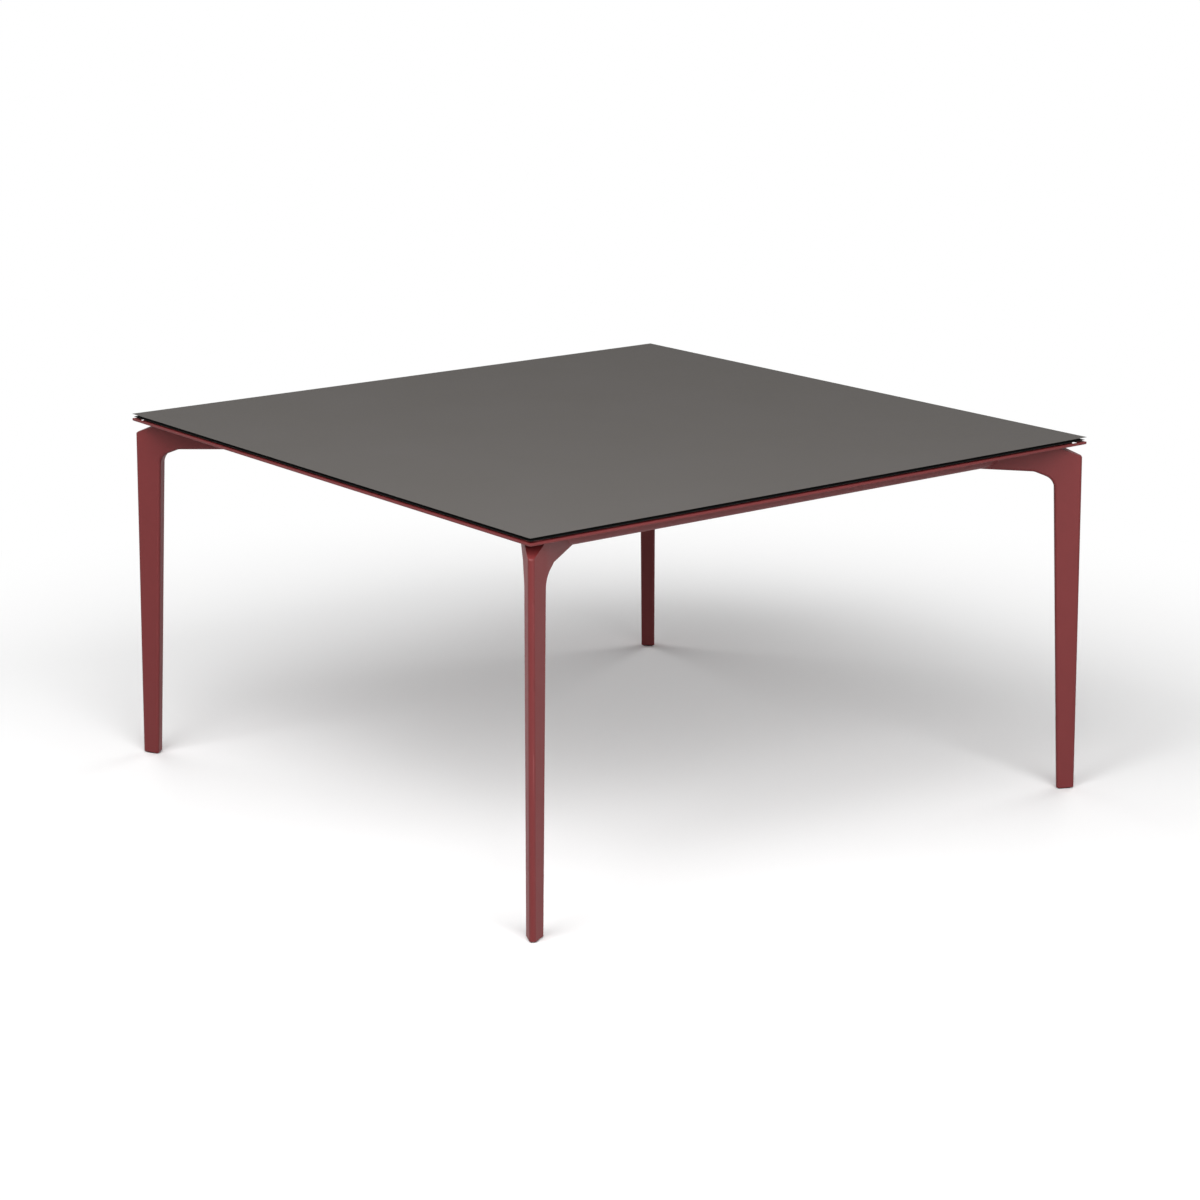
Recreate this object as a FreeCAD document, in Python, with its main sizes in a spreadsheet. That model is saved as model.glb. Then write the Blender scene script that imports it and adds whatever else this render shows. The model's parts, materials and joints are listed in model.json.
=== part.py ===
import FreeCAD, Part
import math
import os
import re

import Sketcher

# Square dining table: a thin slab on a frame of four rails, carried by four cast legs.
# The frame stands on the floor at z = 0 with its centre on the Z axis and its sides along X and Y.
# Each leg is drawn in its own plane: X runs outwards along the diagonal, Y across it.

SIZES = {
    # whole table
    "table_side": 1400,
    "table_height": 745,
    # slab
    "top_thickness": 6.5,
    "top_lip_thickness": 0.3,
    "groove_inset": 10,
    "groove_drop": 3.4,
    "lower_lip_inset": 3,
    "lower_lip_thickness": 0.8,
    # rail section, measured inwards from the table's edge and down from the rail's top face
    "pad_thickness": 3,
    "flange_thickness": 3,
    "rim_width": 4,
    "rim_height": 5.7,
    "rim_radius": 0.6,
    "rim_lower_radius": 2.4,
    "beam_inset": 90,
    "beam_width": 55,
    "beam_depth": 51.4,
    "beam_wall": 3,
    "beam_outer_radius": 30,
    "beam_inner_radius": 6,
    "root_radius": 4,
    "corner_opening": 23.5,
    # leg, measured along the diagonal from the corner of the slab
    "foot_reach": 4.9,
    "head_setback": 8,
    "foot_depth": 35.9,
    "head_depth": 58,
    "foot_half_width": 18.5,
    "head_half_width": 21.5,
    "nose_half_width": 5.25,
    "nose_radius": 6.2,
    "edge_radius": 5.5,
    "foot_edge_radius": 1.2,
    "flank_radius": 200,
    # shoulder and arm of the leg, measured from the ridge and down from the arm's top face
    "shoulder_drop": 27,
    "shoulder_run": 67.4,
    "shoulder_radius": 6,
    "arm_length": 262,
    "arm_end_half_width": 59.5,
    "arm_end_depth": 45.6,
    "arm_root_depth": 56.4,
    "arm_root_setback": 95.5,
    "arm_root_radius": 12,
    "elbow_depth": 73.1,
    "elbow_radius": 30,
    "arm_wall": 7,
    "arm_hollow_length": 130,
    "arm_hollow_radius": 6,
    # foot glide
    "glide_thickness": 2,
    "glide_inset": 3,
    "glide_edge_radius": 3,
    "glide_stem_radius": 4,
    "glide_stem_length": 14,
    "glide_stem_setback": 22,
    # end blocks and leg bolts
    "block_length": 40,
    "bolt_radius": 4,
    "bolt_length": 26,
    "bolt_head_radius": 6.5,
    "bolt_head_height": 8,
    "bolt_key_radius": 3.4,
    "bolt_key_depth": 4,
    "bolt_setback": 17.2,
    "bolt_spacing": 32,
    "bolt_drop": 25,
    "washer_radius": 8,
    "washer_thickness": 1.6,
    # flange screws
    "flange_screw_radius": 3,
    "flange_screw_head_radius": 5.6,
    "flange_screw_head_height": 2.4,
    "flange_screw_length": 16,
    "flange_screw_setback": 112,
    "flange_screw_offset": 15,
    # tabletop fixings
    "fixing_inset": 48,
    "fixing_spacing": 470,
    "fixing_screw_radius": 3,
    "fixing_screw_length": 10.2,
    "fixing_head_radius": 6,
    "fixing_head_height": 3.3,
    "fixing_washer_radius": 11,
    "insert_radius": 4.6,
    "insert_depth": 4.8,
    # cross rails and their brackets
    "cross_rail_offset": 240,
    "cross_rail_width": 50,
    "cross_rail_height": 30,
    "cross_rail_wall": 2.5,
    "bracket_thickness": 3,
    "bracket_width": 44,
    "bracket_reach": 42,
    "bracket_drop": 19,
    "bracket_radius": 5,
    "bracket_screw_radius": 2.5,
    "bracket_screw_length": 9,
    "bracket_screw_spacing": 24,
    "bracket_head_radius": 4.6,
    "bracket_head_height": 2.6,
    "support_pad_radius": 12,
    "support_pad_spacing": 440,
    # fits and cuts
    "joint_clearance": 0.2,
    "hole_clearance": 0.15,
    "overrun": 5,
}
QUARTERS = 4
QUARTER_TURN = 90
DIAGONAL_TURN = 45
ROOT_TWO = "sqrt(2)"
FULL_TURN = 360
BOLTS_PER_FLANK = 2
NEAR_SHARE = 0.2
UP = "up"
SIDES = (1, -1)
THREE_STEPS = (-1, 0, 1)
SIDE_NAMES = ("front", "right", "back", "left")
CORNER_NAMES = ("front_right", "back_right", "back_left", "front_left")

os.makedirs("parts", exist_ok=True)
doc = FreeCAD.newDocument("dining_table")
sheet = doc.addObject("Spreadsheet::Sheet", "Sizes")
for row, (alias, value) in enumerate(SIZES.items(), start=1):
    sheet.set("A%d" % row, str(value))
    sheet.setAlias("A%d" % row, alias)
doc.recompute()
sub_parts = []


# Sums of sizes are written as text, so that the document can work them out again.
def formula(text):
    return re.sub(r"[A-Za-z_]\w*", lambda word: cell_name(word.group()), text)


def cell_name(word):
    return "Sizes." + word if word in SIZES else word


def number(text):
    answer = sheet.evalExpression(formula(text))
    return float(getattr(answer, "Value", answer))


def bind(item, prop, text):
    item.setExpression(prop, formula(text))


# Levels and places that several pieces share.
HALF = "(table_side / 2)"
SLAB_UNDER = "(table_height - top_thickness)"
RAIL_TOP = f"({SLAB_UNDER} - pad_thickness)"
ARM_TOP = f"({RAIL_TOP} - flange_thickness)"
RIM_UNDER = f"({RAIL_TOP} - rim_height)"
BEAM_UNDER = f"({RAIL_TOP} - beam_depth)"
BEAM_INNER = "(beam_inset + beam_width)"
CORNER = f"({HALF} * {ROOT_TWO})"
FOOT_RIDGE = f"({CORNER} + foot_reach)"
HEAD_RIDGE = f"({CORNER} - head_setback)"
FOOT_INNER = f"({FOOT_RIDGE} - foot_depth)"
HEAD_INNER = f"({HEAD_RIDGE} - head_depth)"
ARM_END = f"({HEAD_RIDGE} - arm_length)"
ELBOW = f"({ARM_TOP} - elbow_depth)"
LEG_SPAN = f"({ARM_TOP} - glide_thickness)"
INNER_LEAN = f"(({FOOT_INNER} - {HEAD_INNER}) / {LEG_SPAN})"
RIDGE_LEAN = f"(({FOOT_RIDGE} - {HEAD_RIDGE}) / {LEG_SPAN})"
ARM_RISE = "((arm_root_depth - arm_end_depth) / (arm_length - arm_root_setback))"
FLANK_RUN = f"({HEAD_INNER} - {ARM_END})"
FLANK_FLARE = "(arm_end_half_width - head_half_width)"
FLANK_LENGTH = f"sqrt({FLANK_RUN} ^ 2 + {FLANK_FLARE} ^ 2)"
FLANK_COS = f"({FLANK_RUN} / {FLANK_LENGTH})"
FLANK_SIN = f"({FLANK_FLARE} / {FLANK_LENGTH})"
FLANK_ANGLE = f"(atan({FLANK_FLARE} / {FLANK_RUN}) / 1 deg)"
ROOT_INSET = f"({HALF} - ({HEAD_INNER} + head_half_width) / {ROOT_TWO})"
END_INSET = f"({HALF} - ({ARM_END} + arm_end_half_width) / {ROOT_TWO})"
FLANK_TO_BEAM = f"({FLANK_LENGTH} * ({END_INSET} - {BEAM_INNER}) / ({END_INSET} - {ROOT_INSET}))"
SCREW_TAPER = "atan((flange_screw_head_radius - flange_screw_radius) / flange_screw_head_height)"
CROSS_UNDER = f"({RAIL_TOP} - cross_rail_height)"
BEAM_FACE = f"({HALF} - {BEAM_INNER})"
BRACKET_SCREW_LEVEL = f"({CROSS_UNDER} - (bracket_thickness + bracket_drop) / 2)"
BRACKET_SCREW_REACH = f"({BEAM_FACE} - (bracket_thickness + bracket_reach) / 2)"
NEAR = number("hole_clearance") * NEAR_SHARE


def new_body(label):
    body = doc.addObject("PartDesign::Body", label)
    body.Label = label
    return body


def keep(item, label):
    item.Label = label
    sub_parts.append(item)
    return item


def turned(item, degrees, axis=(0, 0, 1)):
    rotation = FreeCAD.Rotation(FreeCAD.Vector(*axis), degrees)
    item.Placement = FreeCAD.Placement(FreeCAD.Vector(), rotation)
    return item


def new_sketch(body, role, level=None):
    plane = next(item for item in body.Origin.OriginFeatures if item.Role == role)
    sketch = body.newObject("Sketcher::SketchObject", "Outline")
    sketch.AttachmentSupport = (plane, [""])
    sketch.MapMode = "FlatFace"
    if level:
        bind(sketch, "AttachmentOffset.Base.z", level)
    return sketch


def tie(sketch, kind, text, *ends):
    index = sketch.addConstraint(Sketcher.Constraint(kind, *ends, number(text)))
    bind(sketch, "Constraints[%d]" % index, text)


# A closed outline of straight lines. A corner is a pair of sums, with a third for its radius if it is round.
def add_outline(sketch, points):
    corners = [FreeCAD.Vector(number(point[0]), number(point[1]), 0) for point in points]
    rounds = [round_corner(corners, i, *point[2:]) for i, point in enumerate(points)]
    lines = []
    for i, (first, last, centre) in enumerate(rounds):
        next_first = rounds[(i + 1) % len(rounds)][0]
        lines.append(sketch.addGeometry(Part.LineSegment(last, next_first)))
    for i, point in enumerate(points):
        before, after = lines[i - 1], lines[i]
        if len(point) > 2:
            add_round(sketch, before, after, corners[i], rounds[i], point)
        else:
            sketch.addConstraint(Sketcher.Constraint("Coincident", before, 2, after, 1))
            tie(sketch, "DistanceX", point[0], -1, 1, after, 1)
            tie(sketch, "DistanceY", point[1], -1, 1, after, 1)


# Where an arc starts and ends at a corner, and its centre. A sharp corner has a radius of zero.
def round_corner(corners, i, radius="0"):
    corner, before, after = corners[i], corners[i - 1], corners[(i + 1) % len(corners)]
    back, ahead = (before - corner).normalize(), (after - corner).normalize()
    half_angle = back.getAngle(ahead) / 2
    tangent = number(radius) / math.tan(half_angle)
    centre = corner + (back + ahead).normalize() * (number(radius) / math.sin(half_angle))
    return corner + back * tangent, corner + ahead * tangent, centre


def add_round(sketch, before, after, corner, made, point):
    first, last, centre = made
    turns_left = (corner - first).cross(last - corner).z > 0
    ends = (first, last) if turns_left else (last, first)
    circle = Part.Circle(centre, FreeCAD.Vector(0, 0, 1), (first - centre).Length)
    arc = sketch.addGeometry(Part.ArcOfCircle(circle, *[circle.parameter(end) for end in ends]))
    mark = sketch.addGeometry(Part.Point(corner), True)
    tie(sketch, "DistanceX", point[0], -1, 1, mark, 1)
    tie(sketch, "DistanceY", point[1], -1, 1, mark, 1)
    for line in (before, after):
        sketch.addConstraint(Sketcher.Constraint("PointOnObject", mark, 1, line))
    sketch.addConstraint(Sketcher.Constraint("Tangent", before, 2, arc, 1 if turns_left else 2))
    sketch.addConstraint(Sketcher.Constraint("Tangent", after, 1, arc, 2 if turns_left else 1))
    tie(sketch, "Radius", point[2], arc)


def add_box(sketch, low_x, high_x, low_y, high_y):
    add_outline(sketch, [(low_x, low_y), (high_x, low_y), (high_x, high_y), (low_x, high_y)])


def add_circle(sketch, x, y, radius):
    centre = FreeCAD.Vector(number(x), number(y), 0)
    ring = sketch.addGeometry(Part.Circle(centre, FreeCAD.Vector(0, 0, 1), number(radius)))
    tie(sketch, "DistanceX", x, -1, 1, ring, 3)
    tie(sketch, "DistanceY", y, -1, 1, ring, 3)
    tie(sketch, "Radius", radius, ring)


def pad(body, sketch, length, side="One side"):
    feature = body.newObject("PartDesign::Pad", "Pad")
    feature.Profile = sketch
    feature.SideType = side
    bind(feature, "Length", length)
    doc.recompute()
    return feature


# A solid with straight sides between outlines at several levels.
def ruled_loft(body, outlines):
    loft = body.newObject("PartDesign::AdditiveLoft", "Loft")
    loft.Profile = outlines[0]
    loft.Sections = outlines[1:]
    loft.Ruled = True
    doc.recompute()
    return loft


# A cut goes down from its sketch: through everything, or to a depth.
def cut(body, sketch, depth=None, side="One side"):
    before = body.Shape.Volume
    feature = body.newObject("PartDesign::Pocket", "Pocket")
    feature.Profile = sketch
    feature.SideType = side
    feature.Type = "Length" if depth else "ThroughAll"
    if depth:
        bind(feature, "Length", depth)
    doc.recompute()
    if body.Shape.Volume >= before:
        raise RuntimeError("a cut in %s removed nothing" % body.Label)
    return feature


# Rounds the edges of the body that pass the test.
def rounded(body, radius, test):
    base = body.Tip
    edges = ["Edge%d" % (i + 1) for i, edge in enumerate(base.Shape.Edges) if test(edge)]
    if not edges:
        raise RuntimeError("no edge to round in %s" % body.Label)
    feature = body.newObject("PartDesign::Fillet", "Fillet")
    feature.Base = (base, edges)
    bind(feature, "Radius", radius)
    doc.recompute()
    return feature


def middle(edge):
    return edge.valueAt((edge.FirstParameter + edge.LastParameter) / 2)


def near(value, text):
    return abs(value - number(text)) < NEAR


# An edge along X, at a given place on Y and Z.
def edge_at(y, z):
    def test(edge):
        return all(near(end.Y, y) and near(end.Z, z) for end in edge.Vertexes)

    return test


def any_of(*tests):
    return lambda edge: any(test(edge) for test in tests)


# Slab: a flat square with a groove round its edge, under a thin lip, and blind holes for the inserts.
def fixing_places():
    for quarter in range(QUARTERS):
        for step in THREE_STEPS:
            yield quarter_turned(f"{step} * fixing_spacing", inset("fixing_inset"), quarter)


def quarter_turned(x, y, quarter):
    return [(x, y), (f"-({y})", x), (f"-({x})", f"-({y})"), (y, f"-({x})")][quarter]


def make_tabletop():
    body = new_body("tabletop")
    edge_line = [
        (SLAB_UNDER, "lower_lip_inset"), (f"{SLAB_UNDER} + lower_lip_thickness", "lower_lip_inset"),
        ("table_height - groove_drop", "groove_inset"),
        ("table_height - top_lip_thickness", "0"), ("table_height", "0"),
    ]
    squares = []
    for level, edge_inset in edge_line:
        sketch = new_sketch(body, "XY_Plane", level)
        half = f"({HALF} - {edge_inset})"
        add_box(sketch, f"-{half}", half, f"-{half}", half)
        squares.append(sketch)
    ruled_loft(body, squares)
    sketch = new_sketch(body, "XY_Plane", f"{SLAB_UNDER} + insert_depth + hole_clearance")
    for x, y in fixing_places():
        add_circle(sketch, x, y, "insert_radius + hole_clearance")
    cut(body, sketch, "insert_depth + hole_clearance + overrun")
    keep(body, "tabletop")


# Rail: one extruded section with a rim, a flat flange and a hollow beam with a round outer corner.
def inset(text):
    return f"(({text}) - {HALF})"


# Along the flank of a leg's arm, the place on the rail's length at a given inset.
def flank_along(depth):
    root_along = f"(({HEAD_INNER} - head_half_width) / {ROOT_TWO})"
    end_along = f"(({ARM_END} - arm_end_half_width) / {ROOT_TWO})"
    share = f"((({depth}) - {ROOT_INSET}) / ({END_INSET} - {ROOT_INSET}))"
    return f"({root_along} + ({end_along} - {root_along}) * {share})"


# The room that an arm takes at one end of a rail, seen from above.
def arm_room(sketch, end):
    near_edge, far_edge = "beam_inset - root_radius - overrun", f"{BEAM_INNER} + overrun"
    points = [(f"({flank_along(depth)} - joint_clearance)", inset(depth)) for depth in (near_edge, far_edge)]
    points += [(f"({HALF} + overrun)", inset(depth)) for depth in (far_edge, near_edge)]
    add_outline(sketch, [(f"{end} * {x}", y) for x, y in points])


def hollow_section(sketch, gap):
    low, high = f"{BEAM_UNDER} + beam_wall + {gap}", f"{ARM_TOP} - {gap}"
    outer, inner = inset(f"beam_inset + beam_wall + {gap}"), inset(f"{BEAM_INNER} - beam_wall - {gap}")
    add_box(sketch, outer, inner, low, high)
    return outer, inner, low


def make_rail(label, quarter):
    body = new_body(label)
    sketch = new_sketch(body, "YZ_Plane")
    rim_inner = inset("rim_width")
    add_outline(sketch, [
        (f"-{HALF}", RIM_UNDER), (f"-{HALF}", RAIL_TOP),
        (inset(BEAM_INNER), RAIL_TOP), (inset(BEAM_INNER), BEAM_UNDER),
        (inset("beam_inset"), BEAM_UNDER), (inset("beam_inset"), ARM_TOP),
        (rim_inner, ARM_TOP), (rim_inner, RIM_UNDER),
    ])
    outer, inner, low = hollow_section(sketch, "0")
    pad(body, sketch, "table_side", "Symmetric")
    rounded(body, "beam_outer_radius", edge_at(inset("beam_inset"), BEAM_UNDER))
    rounded(body, "beam_outer_radius - beam_wall", edge_at(outer, low))
    rounded(body, "beam_inner_radius", edge_at(inset(BEAM_INNER), BEAM_UNDER))
    rounded(body, "beam_inner_radius - beam_wall", edge_at(inner, low))
    rounded(body, "root_radius", edge_at(inset("beam_inset"), ARM_TOP))
    rounded(body, "rim_lower_radius", edge_at(f"-{HALF}", RIM_UNDER))
    rounded(body, "rim_radius", any_of(edge_at(f"-{HALF}", RAIL_TOP), edge_at(rim_inner, RIM_UNDER)))
    # mitred ends
    sketch = new_sketch(body, "XY_Plane", "table_height")
    reach = f"({BEAM_INNER} + overrun)"
    for end in SIDES:
        add_outline(sketch, [
            (f"{end} * ({HALF} + overrun)", f"(-{HALF} - overrun)"),
            (f"{end} * ({HALF} + overrun)", inset(reach)),
            (f"{end} * ({HALF} - {reach})", inset(reach)),
        ])
    cut(body, sketch)
    # the beam is cut back to the flank of each arm, under the flange
    sketch = new_sketch(body, "XY_Plane", ARM_TOP)
    for end in SIDES:
        arm_room(sketch, end)
    cut(body, sketch)
    # open corner behind the rim, where water drains
    sketch = new_sketch(body, "XY_Plane", "table_height")
    for end in SIDES:
        add_outline(sketch, [
            (f"{end} * ({HALF} - rim_width)", rim_inner),
            (f"{end} * ({HALF} - rim_width - corner_opening * {ROOT_TWO})", rim_inner),
            (f"{end} * ({HALF} - rim_width - corner_opening / {ROOT_TWO} + overrun)",
             inset(f"rim_width + corner_opening / {ROOT_TWO} + overrun")),
        ])
    cut(body, sketch)
    # holes for the tabletop screws, and countersunk holes over the arms
    sketch = new_sketch(body, "XY_Plane", "table_height")
    for step in THREE_STEPS:
        along = f"{step} * fixing_spacing"
        add_circle(sketch, along, inset("fixing_inset"), "fixing_screw_radius + hole_clearance")
    for end in SIDES:
        x, y = flange_screw_place(end)
        add_circle(sketch, x, y, "flange_screw_radius + hole_clearance")
    cut(body, sketch)
    sketch = new_sketch(body, "XY_Plane", RAIL_TOP)
    for end in SIDES:
        x, y = flange_screw_place(end)
        add_circle(sketch, x, y, "flange_screw_head_radius + hole_clearance")
    sink = cut(body, sketch, "flange_screw_head_height")
    bind(sink, "TaperAngle", f"-{SCREW_TAPER}")
    doc.recompute()
    if quarter % 2 == 0:
        drill_for_brackets(body)
    keep(turned(body, quarter * QUARTER_TURN), label)


# Holes in the inner wall of the front and back beams.
def drill_for_brackets(body):
    sketch = new_sketch(body, "XZ_Plane", f"{BEAM_FACE} + beam_wall + overrun")
    for side in SIDES:
        for step in SIDES:
            along = bracket_screw_along(side, step)
            add_circle(sketch, along, BRACKET_SCREW_LEVEL, "bracket_screw_radius + hole_clearance")
    cut(body, sketch, "beam_wall + 2 * overrun")


# Over each arm, on the front rail's side of it.
def flange_screw_place(end):
    along = f"({HEAD_RIDGE} - flange_screw_setback)"
    x = f"(({along} - flange_screw_offset) / {ROOT_TWO})"
    y = f"(-({along} + flange_screw_offset) / {ROOT_TWO})"
    return f"{end} * {x}", y


# End block: fills the hollow of a rail's end and is cut to the flank of the arm.
def make_end_block(label, quarter, end):
    body = new_body(label + "_blank")
    inner_along = flank_along(BEAM_INNER)
    start = f"({inner_along} - block_length)"
    length = f"({flank_along('beam_inset')} - {start} + overrun)"
    sketch = new_sketch(body, "YZ_Plane", f"{end} * {start}")
    outer, inner, low = hollow_section(sketch, "hole_clearance")
    block = pad(body, sketch, length)
    block.Reversed = end < 0
    doc.recompute()
    rounded(body, "beam_outer_radius - beam_wall - hole_clearance", edge_at(outer, low))
    rounded(body, "beam_inner_radius - beam_wall - hole_clearance", edge_at(inner, low))
    sketch = new_sketch(body, "XY_Plane", ARM_TOP)
    arm_room(sketch, end)
    cut(body, sketch)
    turned(body, quarter * QUARTER_TURN)
    corner = quarter if end > 0 else quarter - 1
    side = -end
    keep(drilled(body, bolt_places(corner, side, "-(arm_wall + overrun)")), label)


# Leg: lofted from the foot to the head, with the knee space and the shoulder cut away and all edges rounded.
def leg_outline(sketch, ridge, depth, half_width):
    points = [
        (ridge, "nose_half_width", "nose_radius"),
        (f"({ridge} - {depth})", half_width, "flank_radius"),
        (ARM_END, "arm_end_half_width"),
    ]
    add_outline(sketch, points + [(x, f"-{y}", *radius) for x, y, *radius in reversed(points)])


def inner_line(level):
    return f"({HEAD_INNER} + {INNER_LEAN} * ({ARM_TOP} - ({level})))"


# Just clear of the ridge, so that a cut along it leaves the ridge whole.
def ridge_line(level):
    return f"({HEAD_RIDGE} + hole_clearance + {RIDGE_LEAN} * ({ARM_TOP} - ({level})))"


# Edges of the knee space, along both flanks.
def knee_edge(edge):
    place = middle(edge)
    under_arm = place.z < number(f"{ARM_TOP} - arm_end_depth") + NEAR
    inside = place.x < number(inner_line(place.z)) + NEAR
    at_floor = near(edge.BoundBox.ZMax, "glide_thickness")
    across = edge.BoundBox.YLength > edge.BoundBox.XLength + edge.BoundBox.ZLength
    return under_arm and inside and not at_floor and not across


def make_leg_blank(label):
    body = new_body(label + "_blank")
    foot = new_sketch(body, "XY_Plane", "glide_thickness")
    leg_outline(foot, FOOT_RIDGE, "foot_depth", "foot_half_width")
    head = new_sketch(body, "XY_Plane", ARM_TOP)
    leg_outline(head, HEAD_RIDGE, "head_depth", "head_half_width")
    ruled_loft(body, [foot, head])
    # sloping shoulder, round where it meets the ridge
    sketch = new_sketch(body, "XZ_Plane")
    outside = f"({FOOT_RIDGE} + overrun)"
    low = f"({ARM_TOP} - shoulder_drop - shoulder_radius - overrun)"
    corner = f"({ARM_TOP} - shoulder_drop)"
    add_outline(sketch, [
        (outside, low), (outside, f"({ARM_TOP} + overrun)"),
        (f"({HEAD_RIDGE} - shoulder_run - overrun * shoulder_run / shoulder_drop)", f"({ARM_TOP} + overrun)"),
        (ridge_line(corner), corner, "shoulder_radius"), (ridge_line(low), low),
    ])
    cut(body, sketch, side="Symmetric")
    # knee space under the arm
    sketch = new_sketch(body, "XZ_Plane")
    floor = "(glide_thickness - overrun)"
    past_end = f"({ARM_END} - overrun)"
    add_outline(sketch, [
        (inner_line(floor), floor), (inner_line(ELBOW), ELBOW, "elbow_radius"),
        (f"({HEAD_RIDGE} - arm_root_setback)", f"({ARM_TOP} - arm_root_depth)", "arm_root_radius"),
        (past_end, f"({ARM_TOP} - arm_end_depth + {ARM_RISE} * overrun)"), (past_end, floor),
    ])
    cut(body, sketch, side="Symmetric")
    rounded(body, "edge_radius", knee_edge)
    rounded(body, "foot_edge_radius", lambda edge: near(edge.BoundBox.ZMax, "glide_thickness"))
    return body


# Half the width of the arm at a place along the diagonal.
def flank_half(along):
    return f"(arm_end_half_width - (({along}) - {ARM_END}) * {FLANK_FLARE} / {FLANK_RUN})"


def make_leg(label, corner):
    body = make_leg_blank(label)
    # the arm is hollow and open at its inner end, where the bolts go in
    sketch = new_sketch(body, "XY_Plane", f"{ARM_TOP} - arm_wall")
    hollow_end = f"({ARM_END} + arm_hollow_length)"
    wall = f"(arm_wall / {FLANK_COS})"
    past_end = f"({ARM_END} - overrun)"
    points = [
        (past_end, f"({flank_half(past_end)} - {wall})"),
        (hollow_end, f"({flank_half(hollow_end)} - {wall})", "arm_hollow_radius"),
    ]
    add_outline(sketch, points + [(x, f"-{y}", *radius) for x, y, *radius in reversed(points)])
    cut(body, sketch, "arm_end_depth - 2 * arm_wall")
    # blind holes for the flange screws, from above
    sketch = new_sketch(body, "XY_Plane", ARM_TOP)
    for side in SIDES:
        add_circle(sketch, f"({HEAD_RIDGE} - flange_screw_setback)", f"{side} * flange_screw_offset",
                   "flange_screw_radius + hole_clearance")
    cut(body, sketch, "flange_screw_length - flange_thickness + hole_clearance")
    # socket for the glide, from below
    sketch = new_sketch(body, "XY_Plane", "glide_thickness + glide_stem_length + hole_clearance")
    add_circle(sketch, f"({FOOT_RIDGE} - glide_stem_setback)", "0", "glide_stem_radius + hole_clearance")
    cut(body, sketch)
    turned(body, corner_turn(corner))
    holes = [place for side in SIDES for place in bolt_places(corner, side, "-(arm_wall + overrun)")]
    keep(drilled(body, holes), label)


def corner_turn(corner):
    return corner * QUARTER_TURN - DIAGONAL_TURN


# A place given along and across the diagonal of one corner, in the table's own X and Y.
def at_corner(along, across, corner):
    cosine, sine = f"cos({corner_turn(corner)})", f"sin({corner_turn(corner)})"
    return f"(({along}) * {cosine} - ({across}) * {sine})", f"(({along}) * {sine} + ({across}) * {cosine})"


# Bolt places on one flank of an arm, a given distance outwards from the flank, and the way the bolts point.
# They are measured along the flank from the beam's inner face, as the end block that takes them is.
def bolt_places(corner, side, out):
    for step in range(BOLTS_PER_FLANK):
        back = f"({FLANK_TO_BEAM} + bolt_setback + {step} * bolt_spacing)"
        along = f"({ARM_END} + {back} * {FLANK_COS} + ({out}) * {FLANK_SIN})"
        across = f"{side} * (arm_end_half_width - {back} * {FLANK_SIN} + ({out}) * {FLANK_COS})"
        x, y = at_corner(along, across, corner)
        turn = f"{corner_turn(corner)} + {side} * ({QUARTER_TURN} - {FLANK_ANGLE})"
        yield x, y, f"({ARM_TOP} - bolt_drop)", turn


# A piece turned about the X axis: pairs of a place along the axis and a radius.
def turned_piece(label, points):
    body = new_body(label)
    sketch = new_sketch(body, "XY_Plane")
    add_outline(sketch, points)
    spin = body.newObject("PartDesign::Revolution", "Turning")
    spin.Profile = sketch
    spin.ReferenceAxis = (sketch, ["H_Axis"])
    spin.Angle = FULL_TURN
    doc.recompute()
    return body


# Copies of one piece: each has a place and a turn about Z, or stands upright.
def copies(label, piece, places):
    links = []
    for x, y, z, turn in places:
        link = doc.addObject("App::Link", label + "_copy")
        link.LinkedObject = piece
        if turn is UP:
            turned(link, -QUARTER_TURN, axis=(0, 1, 0))
        else:
            turned(link, number(turn))
            bind(link, "Placement.Rotation.Angle", turn)
        for axis, text in zip("xyz", (x, y, z)):
            bind(link, "Placement.Base." + axis, text)
        links.append(link)
    made = doc.addObject("Part::Compound", label)
    made.Links = links
    doc.recompute()
    return made


# A body with the leg bolts' holes drilled in it.
def drilled(body, places):
    hole = doc.addObject("Part::Cut", body.Label + "_drilled")
    hole.Base = body
    hole.Tool = copies(body.Label + "_holes", bolt_drill, places)
    doc.recompute()
    return hole


def plain_pin(radius, length):
    return [("0", "0"), (length, "0"), (length, radius), ("0", radius)]


def plain_ring(inner, outer, length):
    return [("0", inner), (length, inner), (length, outer), ("0", outer)]


# A screw whose head lies behind the origin of its axis and whose shank runs forwards from it.
def round_head_screw(radius, length, head_radius, head_height):
    return [
        (f"-{head_height}", "0"), (length, "0"), (length, radius),
        ("0", radius), ("0", head_radius), (f"-{head_height} / 2", head_radius),
        (f"-{head_height}", f"{head_radius} / 2"),
    ]


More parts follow.
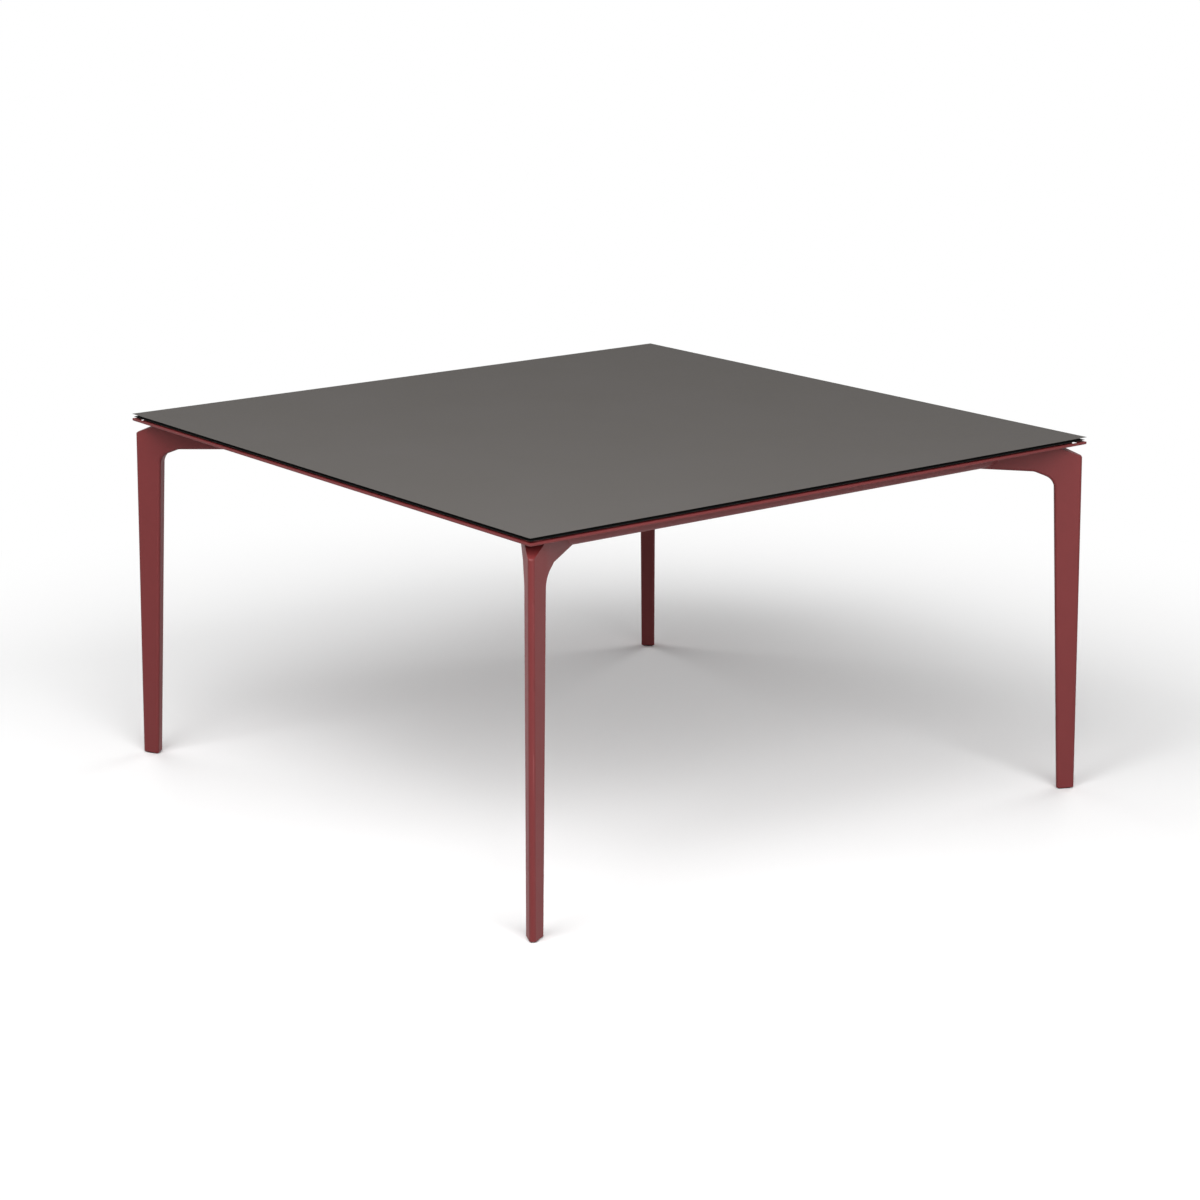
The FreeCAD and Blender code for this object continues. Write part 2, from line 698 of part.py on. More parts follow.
def make_leg_fasteners():
    bolt = turned_piece("bolt", [
        ("bolt_key_depth - bolt_head_height", "0"), ("bolt_length", "0"), ("bolt_length", "bolt_radius"),
        ("0", "bolt_radius"), ("0", "bolt_head_radius"), ("-bolt_head_height", "bolt_head_radius"),
        ("-bolt_head_height", "bolt_key_radius"), ("bolt_key_depth - bolt_head_height", "bolt_key_radius"),
    ])
    bore = "bolt_radius + hole_clearance"
    washer = turned_piece("washer", plain_ring(bore, "washer_radius", "washer_thickness"))
    flanks = [(corner, side) for corner in range(QUARTERS) for side in SIDES]
    seat = "-(arm_wall + washer_thickness)"
    seats = [place for flank in flanks for place in bolt_places(*flank, seat)]
    keep(copies("leg_bolts", bolt, seats), "leg_bolts")
    keep(copies("leg_washers", washer, seats), "leg_washers")
    screw = turned_piece("flange_screw", [
        ("-flange_screw_length", "0"), ("0", "0"), ("0", "flange_screw_head_radius"),
        ("-flange_screw_head_height", "flange_screw_radius"), ("-flange_screw_length", "flange_screw_radius"),
    ])
    along = f"({HEAD_RIDGE} - flange_screw_setback)"
    places = []
    for corner, side in flanks:
        x, y = at_corner(along, f"{side} * flange_screw_offset", corner)
        places.append((x, y, RAIL_TOP, UP))
    keep(copies("flange_screws", screw, places), "flange_screws")


def make_glide(label, corner):
    body = new_body(label)
    sketch = new_sketch(body, "XY_Plane")
    points = [
        (f"({FOOT_RIDGE} - 2 * glide_inset)", "nose_half_width", "glide_edge_radius"),
        (f"({FOOT_INNER} + glide_inset)", "(foot_half_width - 2 * glide_inset)", "glide_edge_radius"),
    ]
    add_outline(sketch, points + [(x, f"-{y}", radius) for x, y, radius in reversed(points)])
    pad(body, sketch, "glide_thickness")
    sketch = new_sketch(body, "XY_Plane")
    add_circle(sketch, f"({FOOT_RIDGE} - glide_stem_setback)", "0", "glide_stem_radius")
    pad(body, sketch, "glide_thickness + glide_stem_length")
    keep(turned(body, corner_turn(corner)), label)


# Each fixing: a screw from under the flange, a washer that spaces the slab off it, and an insert in the slab.
def make_tabletop_fixings():
    screw = turned_piece("fixing_screw", round_head_screw(
        "fixing_screw_radius", "fixing_screw_length", "fixing_head_radius", "fixing_head_height"))
    bore = "fixing_screw_radius + hole_clearance"
    washer = turned_piece("fixing_washer", plain_ring(bore, "fixing_washer_radius", "pad_thickness"))
    insert = turned_piece("fixing_insert", plain_ring(bore, "insert_radius", "insert_depth"))
    for label, piece, level in (("tabletop_screws", screw, ARM_TOP), ("spacer_washers", washer, RAIL_TOP),
                                ("tabletop_inserts", insert, SLAB_UNDER)):
        keep(copies(label, piece, [(x, y, level, UP) for x, y in fixing_places()]), label)


# Cross rails: two tubes under the middle of the slab, each held by an angle bracket at either end.
def make_cross_rail(label, side):
    body = new_body(label)
    sketch = new_sketch(body, "XZ_Plane")
    middle_x = f"{side} * cross_rail_offset"
    for gap in ("0", "cross_rail_wall"):
        half = f"(cross_rail_width / 2 - {gap})"
        low, high = f"{CROSS_UNDER} + {gap}", f"{RAIL_TOP} - {gap}"
        add_box(sketch, f"{middle_x} - {half}", f"{middle_x} + {half}", low, high)
    pad(body, sketch, f"2 * ({BEAM_FACE} - joint_clearance)", "Symmetric")
    sketch = new_sketch(body, "XY_Plane", f"{CROSS_UNDER} + cross_rail_wall + overrun")
    for end in SIDES:
        drill_for_tube_screws(sketch, side, end)
    cut(body, sketch, "cross_rail_wall + 2 * overrun")
    keep(body, label)


# Holes for the two screws between a bracket and its tube.
def drill_for_tube_screws(sketch, side, end):
    reach = f"{end} * {BRACKET_SCREW_REACH}"
    for step in SIDES:
        add_circle(sketch, bracket_screw_along(side, step), reach, "bracket_screw_radius + hole_clearance")


# Bracket: one leg lies under the tube, the other hangs against the beam.
def make_bracket(label, side, end):
    body = new_body(label)
    sketch = new_sketch(body, "YZ_Plane", f"{side} * cross_rail_offset")
    outer, inner = f"{end} * {BEAM_FACE}", f"{end} * ({BEAM_FACE} - bracket_thickness)"
    tip = f"{end} * ({BEAM_FACE} - bracket_reach)"
    foot = f"({CROSS_UNDER} - bracket_drop)"
    under = f"({CROSS_UNDER} - bracket_thickness)"
    add_outline(sketch, [
        (outer, CROSS_UNDER), (tip, CROSS_UNDER), (tip, under), (inner, under, "bracket_radius"),
        (inner, foot), (outer, foot),
    ])
    pad(body, sketch, "bracket_width", "Symmetric")
    sketch = new_sketch(body, "XY_Plane", f"{CROSS_UNDER} + overrun")
    drill_for_tube_screws(sketch, side, end)
    cut(body, sketch)
    sketch = new_sketch(body, "XZ_Plane")
    for step in SIDES:
        along = bracket_screw_along(side, step)
        add_circle(sketch, along, BRACKET_SCREW_LEVEL, "bracket_screw_radius + hole_clearance")
    cut(body, sketch, side="Symmetric")
    keep(body, label)


def bracket_screw_along(side, step):
    return f"({side} * cross_rail_offset + {step} * bracket_screw_spacing / 2)"


def make_bracket_screws():
    screw = turned_piece("bracket_screw", round_head_screw(
        "bracket_screw_radius", "bracket_screw_length", "bracket_head_radius", "bracket_head_height"))
    places = []
    for side in SIDES:
        for end in SIDES:
            for step in SIDES:
                along = bracket_screw_along(side, step)
                under, reach = f"({CROSS_UNDER} - bracket_thickness)", f"{end} * {BRACKET_SCREW_REACH}"
                places.append((along, reach, under, UP))
                face, turn = f"{end} * ({BEAM_FACE} - bracket_thickness)", f"{end} * {QUARTER_TURN}"
                places.append((along, face, BRACKET_SCREW_LEVEL, turn))
    keep(copies("bracket_screws", screw, places), "bracket_screws")


def make_support_pads():
    disc = turned_piece("support_pad", plain_pin("support_pad_radius", "pad_thickness"))
    places = [(f"{side} * cross_rail_offset", f"{step} * support_pad_spacing", RAIL_TOP, UP)
              for side in SIDES for step in THREE_STEPS]
    keep(copies("support_pads", disc, places), "support_pads")


bolt_drill = turned_piece("bolt_drill", plain_pin("bolt_radius + hole_clearance", "bolt_length + overrun"))
make_tabletop()
for quarter, side_name in enumerate(SIDE_NAMES):
    make_rail("rail_" + side_name, quarter)
    make_end_block("end_block_%s_a" % side_name, quarter, 1)
    make_end_block("end_block_%s_b" % side_name, quarter, -1)
for corner, corner_name in enumerate(CORNER_NAMES):
    make_leg("leg_" + corner_name, corner)
    make_glide("foot_glide_" + corner_name, corner)
make_leg_fasteners()
make_tabletop_fixings()
for side, side_name in zip(SIDES, ("right", "left")):
    make_cross_rail("cross_rail_" + side_name, side)
    make_bracket("bracket_back_" + side_name, side, 1)
    make_bracket("bracket_front_" + side_name, side, -1)
make_bracket_screws()
make_support_pads()

doc.recompute()
for item in doc.Objects:
    if "Invalid" in item.State or "Error" in item.State:
        raise RuntimeError("%s failed" % item.Label)
for item in sub_parts:
    if item.Shape.isNull() or not item.Shape.isValid():
        raise RuntimeError("%s has no sound shape" % item.Label)
for item in sub_parts:
    item.Shape.exportStep("parts/%s.step" % item.Label)
    print(item.Label, len(item.Shape.Solids), "solids", round(item.Shape.Volume), "mm3")
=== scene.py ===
# %% [markdown]
# A square dining table: a thin dark slab seems to float on a slim red frame with four cast legs.
# The solids come from the CAD frame, which is already at its real size and place, in metres.
# This lesson gives every surface its finish, remakes the screws that show from below, and sets
# the floor, the light and the camera. The frame is loaded first, because every later piece takes
# its place from it.

# %% Load the frame
import json
import math

import bmesh
import bpy
from mathutils import Matrix, Vector


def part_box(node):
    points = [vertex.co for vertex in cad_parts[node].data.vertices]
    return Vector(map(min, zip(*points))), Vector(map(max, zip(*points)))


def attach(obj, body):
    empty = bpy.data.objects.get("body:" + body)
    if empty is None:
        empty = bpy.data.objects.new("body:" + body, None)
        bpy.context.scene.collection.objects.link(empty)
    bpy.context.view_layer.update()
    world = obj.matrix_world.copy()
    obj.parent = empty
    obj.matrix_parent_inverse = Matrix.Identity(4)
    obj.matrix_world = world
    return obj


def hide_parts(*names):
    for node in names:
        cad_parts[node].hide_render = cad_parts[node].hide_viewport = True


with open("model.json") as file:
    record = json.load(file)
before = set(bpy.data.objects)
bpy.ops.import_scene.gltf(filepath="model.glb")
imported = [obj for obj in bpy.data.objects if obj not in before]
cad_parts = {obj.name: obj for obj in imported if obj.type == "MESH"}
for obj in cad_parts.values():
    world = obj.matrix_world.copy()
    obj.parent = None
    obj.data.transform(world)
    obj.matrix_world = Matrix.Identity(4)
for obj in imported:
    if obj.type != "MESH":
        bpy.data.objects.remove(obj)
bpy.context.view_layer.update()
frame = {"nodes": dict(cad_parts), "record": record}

MM = 0.001
BODY = "root"

# %% [markdown]
# Colours are written as sRGB hex values, as on a colour card, and a shader works with linear
# light, so one function converts them. A second small function adds any node to a material with
# its settings and links, which keeps each material short enough to read as a recipe. A pattern is
# given by its real size in millimetres, and the noise scale is worked out from that.

# %% Colour and node helpers


def linear(hex_colour):
    channels = [int(hex_colour[start:start + 2], 16) / 255 for start in (1, 3, 5)]
    return [c / 12.92 if c <= 0.04045 else ((c + 0.055) / 1.055) ** 2.4 for c in channels] + [1.0]


def add(tree, kind, inputs=(), **settings):
    node = tree.nodes.new(kind)
    for name, value in settings.items():
        setattr(node, name, value)
    for name, value in dict(inputs).items():
        if isinstance(value, bpy.types.NodeSocket):
            tree.links.new(value, node.inputs[name])
        else:
            node.inputs[name].default_value = value
    return node


def new_material(name):
    material = bpy.data.materials.new(name)
    material.use_nodes = True
    material.node_tree.nodes.clear()
    return material, material.node_tree


def per_size(size_mm):
    return 1 / (size_mm * MM)


print("middle grey in linear light:", round(linear("#808080")[0], 3))

# %% [markdown]
# The frame is aluminium under a polyester powder coat: cast legs and extruded rails, sprayed with
# dry powder and baked. The baked film is matte and very slightly pebbled, so it scatters light
# into a broad pale sheen on faces seen at a low angle. A flat colour would lose that, so the coat
# has a clouded red, a grain in its roughness and two sizes of bump. The real grain is about
# 0.3 mm, too fine to show, so it is drawn at 1.2 mm.

# %% Powder coat
COAT_RED = "#702526"
COAT_PALE_RED = "#762829"
COAT_ROUGH = (0.5, 0.62)
COAT_IOR = 1.48
COAT_CLOUD_MM = 45
COAT_GRAIN_MM = 1.2
COAT_GRAIN_DEPTH_MM = 0.06
COAT_GRAIN_STRENGTH = 0.18
COAT_PEBBLE_MM = 6
COAT_PEBBLE_DEPTH_MM = 0.15
COAT_PEBBLE_STRENGTH = 0.08


def powder_coat():
    material, tree = new_material("powder_coated_aluminium")
    place = add(tree, "ShaderNodeTexCoord").outputs["Object"]
    cloud = add(tree, "ShaderNodeTexNoise", {
        "Vector": place, "Scale": per_size(COAT_CLOUD_MM), "Detail": 3.0})
    grain = add(tree, "ShaderNodeTexNoise", {
        "Vector": place, "Scale": per_size(COAT_GRAIN_MM), "Detail": 2.0})
    pebble = add(tree, "ShaderNodeTexNoise", {
        "Vector": place, "Scale": per_size(COAT_PEBBLE_MM), "Detail": 1.0})
    colour = add(tree, "ShaderNodeMix", {
        "Factor": cloud.outputs["Fac"], "A": linear(COAT_RED), "B": linear(COAT_PALE_RED)},
        data_type="RGBA")
    rough = add(tree, "ShaderNodeMapRange", {
        "Value": grain.outputs["Fac"], "To Min": COAT_ROUGH[0], "To Max": COAT_ROUGH[1]})
    wide = add(tree, "ShaderNodeBump", {
        "Height": pebble.outputs["Fac"], "Strength": COAT_PEBBLE_STRENGTH,
        "Distance": COAT_PEBBLE_DEPTH_MM * MM})
    fine = add(tree, "ShaderNodeBump", {
        "Height": grain.outputs["Fac"], "Strength": COAT_GRAIN_STRENGTH,
        "Distance": COAT_GRAIN_DEPTH_MM * MM, "Normal": wide.outputs["Normal"]})
    shader = add(tree, "ShaderNodeBsdfPrincipled", {
        "Base Color": colour.outputs["Result"], "Roughness": rough.outputs["Result"],
        "Normal": fine.outputs["Normal"], "IOR": COAT_IOR})
    add(tree, "ShaderNodeOutputMaterial", {"Surface": shader.outputs["BSDF"]})
    return material


coat = powder_coat()
print("made", coat.name, "with a grain of", COAT_GRAIN_MM, "mm")

# %% [markdown]
# The slab is solid compact laminate: many sheets of paper pressed with resin into one board, with
# a decor sheet on each face. The faces are a matte warm grey and the cut edge shows the black
# core. One material does both: it looks at the height of each point in the slab and changes to
# the core between the two decor sheets. The pressed face is nearly even and reflects very little,
# with a grain finer than a millimetre, drawn here at 0.9 mm.

# %% Compact laminate
FACE_GREY = "#5B5855"
FACE_PALE_GREY = "#5E5B59"
CORE_BLACK = "#100F0F"
DECOR_MM = 0.15
FACE_ROUGH = (0.82, 0.94)
FACE_IOR = 1.5
FACE_SPECULAR = 0.15
FACE_CLOUD_MM = 180
FACE_GRAIN_MM = 0.9
FACE_GRAIN_DEPTH_MM = 0.05
FACE_GRAIN_STRENGTH = 0.12


def compact_laminate(underside, top):
    material, tree = new_material("compact_laminate")
    place = add(tree, "ShaderNodeTexCoord").outputs["Object"]
    height = add(tree, "ShaderNodeSeparateXYZ", {"Vector": place}).outputs["Z"]
    core = add(tree, "ShaderNodeMath", {
        0: height, 1: (top + underside) / 2, 2: (top - underside) / 2 - DECOR_MM * MM},
        operation="COMPARE")
    cloud = add(tree, "ShaderNodeTexNoise", {
        "Vector": place, "Scale": per_size(FACE_CLOUD_MM), "Detail": 4.0})
    grain = add(tree, "ShaderNodeTexNoise", {
        "Vector": place, "Scale": per_size(FACE_GRAIN_MM), "Detail": 2.0})
    face = add(tree, "ShaderNodeMix", {
        "Factor": cloud.outputs["Fac"], "A": linear(FACE_GREY), "B": linear(FACE_PALE_GREY)},
        data_type="RGBA")
    colour = add(tree, "ShaderNodeMix", {
        "Factor": core.outputs["Value"], "A": face.outputs["Result"], "B": linear(CORE_BLACK)},
        data_type="RGBA")
    rough = add(tree, "ShaderNodeMapRange", {
        "Value": grain.outputs["Fac"], "To Min": FACE_ROUGH[0], "To Max": FACE_ROUGH[1]})
    bump = add(tree, "ShaderNodeBump", {
        "Height": grain.outputs["Fac"], "Strength": FACE_GRAIN_STRENGTH,
        "Distance": FACE_GRAIN_DEPTH_MM * MM})
    shader = add(tree, "ShaderNodeBsdfPrincipled", {
        "Base Color": colour.outputs["Result"], "Roughness": rough.outputs["Result"],
        "Normal": bump.outputs["Normal"], "IOR": FACE_IOR, "Specular IOR Level": FACE_SPECULAR})
    add(tree, "ShaderNodeOutputMaterial", {"Surface": shader.outputs["BSDF"]})
    return material


slab_low, slab_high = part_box("tabletop")
laminate = compact_laminate(slab_low.z, slab_high.z)
print("made", laminate.name, "for a slab", round((slab_high.z - slab_low.z) / MM, 2), "mm thick")

# %% [markdown]
# The small parts have plain finishes. Turned stainless steel, for screws, bolts and brackets, has
# a cool blurred shine, and the brass of the threaded inserts a warm one. The milled aluminium of
# the blocks inside the rails is paler and duller. The black rubber that holds the slab off the
# frame takes almost no light, and the moulded nylon under the feet a little more. Each is one
# recipe with its own numbers: two tones, how metallic it is, and a grain that breaks up its
# roughness and its surface. The real grains are finer, and are drawn at about a millimetre.

# %% Hardware finishes
SMALL_GRAIN_DEPTH_MM = 0.05
SMALL_GRAIN_STRENGTH = 0.1
SMALL_FINISHES = {
    # dark tone, pale tone, metallic, roughness from and to, grain in millimetres
    "stainless_steel": ("#8F8E8B", "#A3A29E", 1.0, (0.28, 0.42), 0.8),
    "brass": ("#B08A45", "#C59C55", 1.0, (0.25, 0.4), 0.8),
    "bare_aluminium": ("#B0B1B3", "#BFC0C1", 1.0, (0.32, 0.48), 1.5),
    "rubber": ("#151515", "#1D1D1D", 0.0, (0.75, 0.9), 1.0),
    "nylon": ("#1B1B1C", "#222223", 0.0, (0.45, 0.6), 1.0),
}


def small_finish(name, dark, pale, metallic, rough, grain_mm):
    material, tree = new_material(name)
    place = add(tree, "ShaderNodeTexCoord").outputs["Object"]
    grain = add(tree, "ShaderNodeTexNoise", {
        "Vector": place, "Scale": per_size(grain_mm), "Detail": 3.0})
    colour = add(tree, "ShaderNodeMix", {
        "Factor": grain.outputs["Fac"], "A": linear(dark), "B": linear(pale)}, data_type="RGBA")
    spread = add(tree, "ShaderNodeMapRange", {
        "Value": grain.outputs["Fac"], "To Min": rough[0], "To Max": rough[1]})
    bump = add(tree, "ShaderNodeBump", {
        "Height": grain.outputs["Fac"], "Strength": SMALL_GRAIN_STRENGTH,
        "Distance": SMALL_GRAIN_DEPTH_MM * MM})
    shader = add(tree, "ShaderNodeBsdfPrincipled", {
        "Base Color": colour.outputs["Result"], "Roughness": spread.outputs["Result"],
        "Normal": bump.outputs["Normal"], "Metallic": metallic})
    add(tree, "ShaderNodeOutputMaterial", {"Surface": shader.outputs["BSDF"]})
    return material


finishes = {name: small_finish(name, *recipe) for name, recipe in SMALL_FINISHES.items()}
finishes["powder_coat"] = coat
finishes["compact_laminate"] = laminate
print("finishes:", ", ".join(sorted(finishes)))

# %% [markdown]
# Each CAD node already has a material slot, named in the record for what the piece is made of.
# The finish made above simply goes into that slot. The solids are right as they are, with smooth
# normals from the CAD surfaces, so they stay and are not remodelled.

# %% Dress the CAD nodes
slot_of = {row["node"]: row["material_slot"] for row in frame["record"]["subparts"]}
for node, obj in frame["nodes"].items():
    obj.data.materials.clear()
    obj.data.materials.append(finishes[slot_of[node]])
print("dressed", len(slot_of), "nodes")

# %% [markdown]
# The screws under the slab and in the brackets are plain turned blanks in the CAD frame, because
# a key socket says nothing about their fit. Seen from below they are what shows, so they are
# remade here as button head screws. The places come from the CAD node itself: its mesh is welded
# in a copy and split into islands, one for each screw. The longest side of an island is the
# screw's axis, and the end with the widest vertices is its head.

# %% Places of the screws
WELD_MM = 0.01
WIDEST_SHARE = 0.8


def islands(node):
    shape = bmesh.new()
    shape.from_mesh(frame["nodes"][node].data)
    bmesh.ops.remove_doubles(shape, verts=shape.verts, dist=WELD_MM * MM)
    shape.verts.index_update()
    done, groups = set(), []
    for first in shape.verts:
        if first.index in done:
            continue
        done.add(first.index)
        waiting, points = [first], []
        while waiting:
            vertex = waiting.pop()
            points.append(vertex.co.copy())
            for edge in vertex.link_edges:
                other = edge.other_vert(vertex)
                if other.index not in done:
                    done.add(other.index)
                    waiting.append(other)
        groups.append(points)
    shape.free()
    return groups


def screw_place(points, rise):
    low = Vector(min(point[i] for point in points) for i in range(3))
    high = Vector(max(point[i] for point in points) for i in range(3))
    middle, size = (low + high) / 2, high - low
    axis = max(range(3), key=lambda i: size[i])
    spread = [(point - middle).length_squared - (point - middle)[axis] ** 2 for point in points]
    widest = WIDEST_SHARE * max(spread)
    wide = [point[axis] for point, out in zip(points, spread) if out > widest]
    head_low = sum(wide) / len(wide) < middle[axis]
    way, seat = Vector((0, 0, 0)), middle.copy()
    way[axis] = 1 if head_low else -1
    seat[axis] = low[axis] + rise * MM if head_low else high[axis] - rise * MM
    length = size[axis] / MM - rise
    return Matrix.Translation(seat) @ way.to_track_quat("Z", "Y").to_matrix().to_4x4(), length


for node in ("tabletop_screws", "bracket_screws"):
    print(node, "has", len(islands(node)), "screws")

# %% [markdown]
# A button head screw is a turned part, so half of its outline is drawn once and spun about its
# axis. The outline goes from the tip of the shank, over the low dome of the head, down into the
# key socket. The spin has 24 steps, and six of them become the corners of the socket: the ring of
# the socket is drawn in towards the flats of a hexagon.

# %% Shape of a screw
SPIN_STEPS = 24
KEY_CORNER = math.tau / 6
TIP_SHARE = 0.2
DOME_SHARES = ((1, 0), (1, 0.2), (0.95, 0.5), (0.84, 0.76), (0.68, 0.93), (0.52, 1))
SCREWS_MM = {
    "tabletop_screws": {"shank": 3.0, "head": 6.0, "rise": 3.3, "key": 2.31, "key_depth": 2.0},
    "bracket_screws": {"shank": 2.5, "head": 4.6, "rise": 2.6, "key": 1.73, "key_depth": 1.5},
}


def screw_mesh(length, shank, head, rise, key, key_depth):
    tip = TIP_SHARE * shank
    outline = [(0, length), (shank - tip, length), (shank, length - tip), (shank, 0)]
    outline += [(out * head, -up * rise) for out, up in DOME_SHARES]
    outline += [(key, -rise), (key, key_depth - rise), (0, key_depth - rise)]
    shape = bmesh.new()
    points = [shape.verts.new((radius * MM, 0, along * MM)) for radius, along in outline]
    edges = [shape.edges.new(pair) for pair in zip(points, points[1:])]
    bmesh.ops.spin(shape, geom=points + edges, cent=(0, 0, 0), axis=(0, 0, 1), angle=math.tau,
                   steps=SPIN_STEPS, use_merge=True)
    bmesh.ops.remove_doubles(shape, verts=shape.verts, dist=WELD_MM * MM)
    for vertex in shape.verts:
        flat = vertex.co.xy
        if abs(flat.length - key * MM) < WELD_MM * MM:
            turn = math.atan2(flat.y, flat.x) % KEY_CORNER - KEY_CORNER / 2
            vertex.co.xy = flat * math.cos(KEY_CORNER / 2) / math.cos(turn)
    bmesh.ops.recalc_face_normals(shape, faces=shape.faces)
    return shape


for node, sizes in SCREWS_MM.items():
    place, length = screw_place(islands(node)[0], sizes["rise"])
    trial = screw_mesh(length, **sizes)
    closed = all(edge.is_manifold for edge in trial.edges)
    print(node, round(length, 2), "mm under the head,", len(trial.faces), "faces, closed:", closed)
    trial.free()

# %% [markdown]
# The screws of one kind are one piece, as their CAD node is. Each screw is turned and moved to its
# place in the mesh, so the finished object stays at the origin. Faces are smooth, apart from the
# edges that a lathe or a key leaves sharp. The new piece then takes the CAD node's place.

# %% Remade screws
SHARP_DEGREES = 35


def remake_screws(node, sizes):
    mesh = bpy.data.meshes.new(node + "_remade")
    whole = bmesh.new()
    for points in islands(node):
        place, length = screw_place(points, sizes["rise"])
        one = screw_mesh(length, **sizes)
        one.transform(place)
        one.to_mesh(mesh)
        one.free()
        whole.from_mesh(mesh)
    for face in whole.faces:
        face.smooth = True
    whole.to_mesh(mesh)
    whole.free()
    mesh.set_sharp_from_angle(angle=math.radians(SHARP_DEGREES))
    mesh.materials.append(finishes["stainless_steel"])
    piece = bpy.data.objects.new(node + "_remade", mesh)
    bpy.context.scene.collection.objects.link(piece)
    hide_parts(node)
    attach(piece, BODY)
    return piece


for node, sizes in SCREWS_MM.items():
    piece = remake_screws(node, sizes)
    print(piece.name, len(piece.data.polygons), "faces")

# %% [markdown]
# The floor is a wide white sheet that takes the table's soft shadow. Far from the table it turns
# into pure white for the camera and in reflections, so that the picture has no horizon. For light
# that bounces off it, it is a middle grey, because the underside of the table stays dark in the
# photograph. Which of these holds depends on the kind of ray, not on where the camera stands. Seen
# from below the floor is clear, so that the underside of the table can be looked at.

# %% Floor
FLOOR_WHITE = "#FEFEFE"
FLOOR_GREY = "#8C8C8C"
FLOOR_HALF_SIDE_M = 40
SHADOW_REACH_M = 1.2
WHITE_REACH_M = 2.5


def seen_directly(tree):
    path = add(tree, "ShaderNodeLightPath")
    direct = add(tree, "ShaderNodeMath", {
        0: path.outputs["Is Camera Ray"], 1: path.outputs["Is Glossy Ray"]}, operation="ADD")
    seen = add(tree, "ShaderNodeMath", {
        0: direct.outputs["Value"], 1: path.outputs["Is Transmission Ray"]},
        operation="ADD", use_clamp=True)
    return seen.outputs["Value"]


def floor_material():
    material, tree = new_material("white_studio_floor")
    place = add(tree, "ShaderNodeTexCoord").outputs["Object"]
    away = add(tree, "ShaderNodeVectorMath", {0: place}, operation="LENGTH")
    far = add(tree, "ShaderNodeMapRange", {
        "Value": away.outputs["Value"], "From Min": SHADOW_REACH_M, "From Max": WHITE_REACH_M},
        interpolation_type="SMOOTHSTEP")
    seen = seen_directly(tree)
    share = add(tree, "ShaderNodeMath", {0: far.outputs["Result"], 1: seen}, operation="MULTIPLY")
    tone = add(tree, "ShaderNodeMix", {
        "Factor": seen, "A": linear(FLOOR_GREY), "B": linear(FLOOR_WHITE)}, data_type="RGBA")
    paper = add(tree, "ShaderNodeBsdfDiffuse", {"Color": tone.outputs["Result"]})
    white = add(tree, "ShaderNodeEmission", {"Strength": 1.0})
    sheet = add(tree, "ShaderNodeMixShader", {
        0: share.outputs["Value"], 1: paper.outputs["BSDF"], 2: white.outputs["Emission"]})
    side = add(tree, "ShaderNodeNewGeometry")
    clear = add(tree, "ShaderNodeBsdfTransparent")
    both = add(tree, "ShaderNodeMixShader", {
        0: side.outputs["Backfacing"], 1: sheet.outputs["Shader"], 2: clear.outputs["BSDF"]})
    add(tree, "ShaderNodeOutputMaterial", {"Surface": both.outputs["Shader"]})
    return material


def make_floor():
    mesh = bpy.data.meshes.new("floor")
    shape = bmesh.new()
    bmesh.ops.create_grid(shape, x_segments=1, y_segments=1, size=FLOOR_HALF_SIDE_M)
    shape.to_mesh(mesh)
    shape.free()
    mesh.materials.append(floor_material())
    floor = bpy.data.objects.new("floor", mesh)
    bpy.context.scene.collection.objects.link(floor)
    return floor


floor = make_floor()
print("floor", 2 * FLOOR_HALF_SIDE_M, "m wide at height", floor.location.z)

# %% [markdown]
# The photograph has the soft, even light of a studio. Three large soft boxes stand in front and to
# the right: they give the slab its gentle fall of light and push the shadow back under the table.
# A smaller one, low at the right, reaches the beam under the rim. Two more stand low behind and at
# the left, where they soften the shadow. They would show as glare on the slab at this low angle,
# so they are left out of reflections. The sky is nearly dark for lighting, and pure white for the
# camera and for reflections.

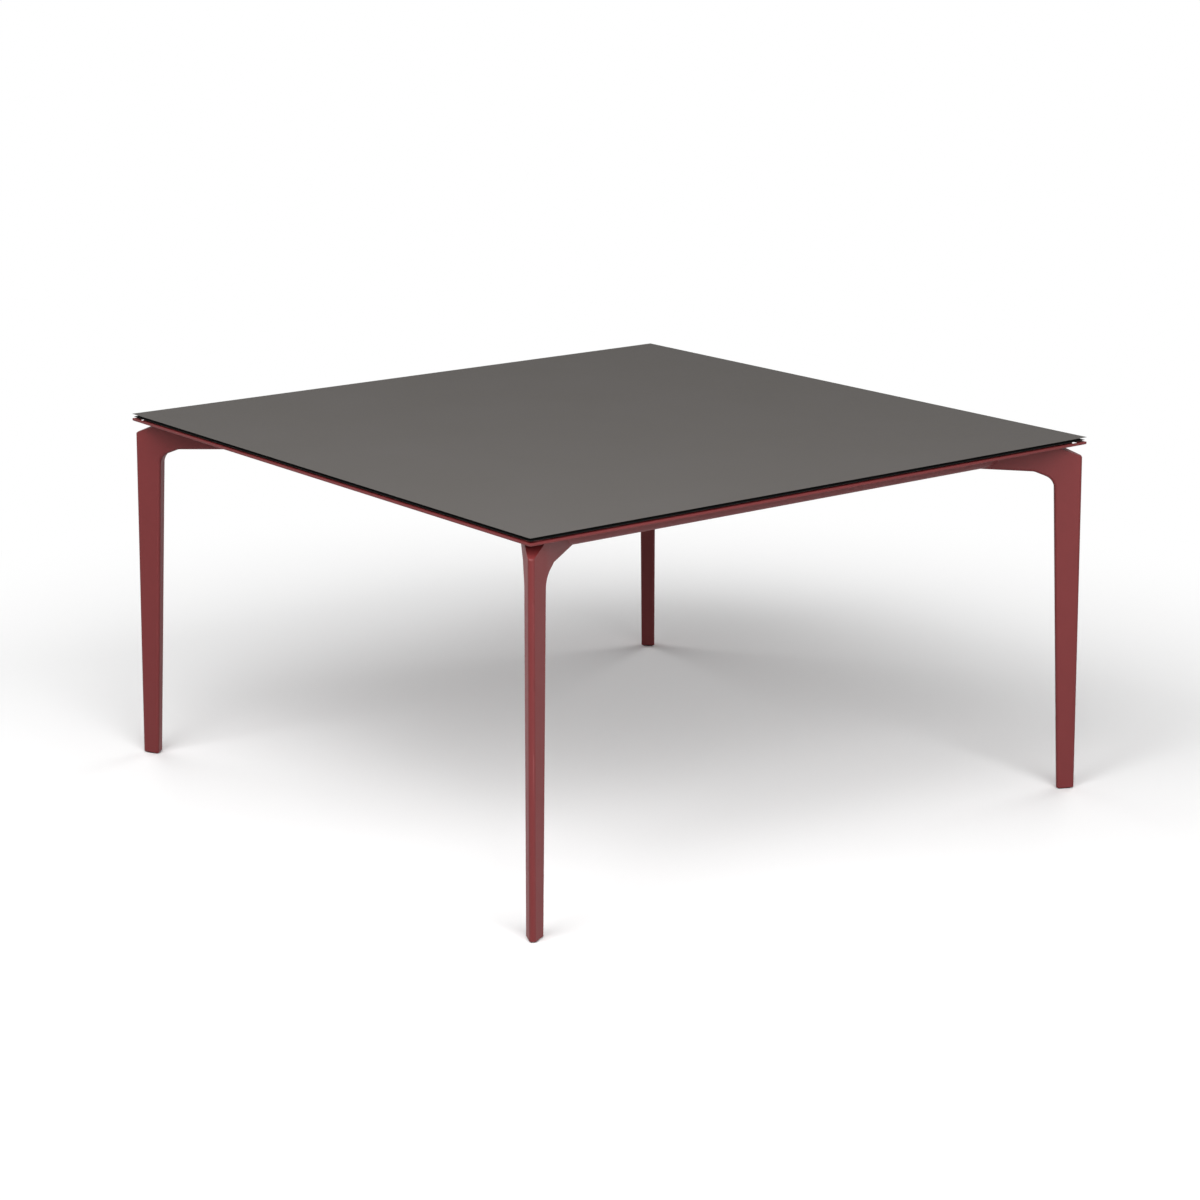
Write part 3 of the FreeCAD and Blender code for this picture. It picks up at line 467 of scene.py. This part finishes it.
# %% Light
SKY_LEVEL = 0.03
SOFT_BOXES = {
    # azimuth and elevation in degrees, distance and side in metres, watts, shows in reflections
    "front": (10, 40, 4.5, 3.0, 86, True),
    "high": (36, 55, 5.0, 3.0, 88, True),
    "right": (75, 36, 5.0, 3.0, 136, True),
    "low right": (78, 9, 5.0, 1.7, 27, True),
    "back": (190, 22, 5.0, 3.2, 91, False),
    "left": (275, 22, 5.0, 3.2, 91, False),
}


def round_table(azimuth, elevation, distance, target):
    turn, lift = math.radians(azimuth), math.radians(elevation)
    flat = math.cos(lift)
    away = Vector((math.sin(turn) * flat, -math.cos(turn) * flat, math.sin(lift)))
    place = Matrix.Translation(target + away * distance)
    return place @ away.to_track_quat("Z", "Y").to_matrix().to_4x4()


def make_sky():
    world = bpy.data.worlds.new("studio")
    world.use_nodes = True
    tree = world.node_tree
    tree.nodes.clear()
    level = add(tree, "ShaderNodeMapRange", {
        "Value": seen_directly(tree), "To Min": SKY_LEVEL, "To Max": 1.0})
    sky = add(tree, "ShaderNodeBackground", {"Strength": level.outputs["Result"]})
    add(tree, "ShaderNodeOutputWorld", {"Surface": sky.outputs["Background"]})
    bpy.context.scene.world = world


def make_soft_box(name, azimuth, elevation, distance, side, watts, shine):
    light = bpy.data.lights.new(name, "AREA")
    light.size = side
    light.energy = watts
    box = bpy.data.objects.new(name, light)
    middle = Vector((0, 0, slab_high.z / 2))
    box.matrix_world = round_table(azimuth, elevation, distance, middle)
    box.visible_glossy = shine
    bpy.context.scene.collection.objects.link(box)


make_sky()
for name, box in SOFT_BOXES.items():
    make_soft_box(name, *box)
print("sky at", SKY_LEVEL, "and", len(SOFT_BOXES), "soft boxes")

# %% [markdown]
# The camera was found from the photograph: the four corners of the slab fix its direction, its
# distance and its lens. It stands to the right of the front, a little above the table, with a
# portrait lens that keeps the square slab's edges calm.

# %% Camera
VIEW = {"azimuth": 52, "elevation": 15, "distance": 5.93176}
TARGET = Vector((0, 0, 0.37207))
LENS_MM = 85

camera = bpy.data.objects.new("camera", bpy.data.cameras.new("camera"))
camera.data.lens = LENS_MM
camera.matrix_world = round_table(**VIEW, target=TARGET)
bpy.context.scene.collection.objects.link(camera)
bpy.context.scene.camera = camera
bpy.context.scene.view_settings.view_transform = "Standard"
print("camera at", [round(v, 3) for v in camera.matrix_world.translation])
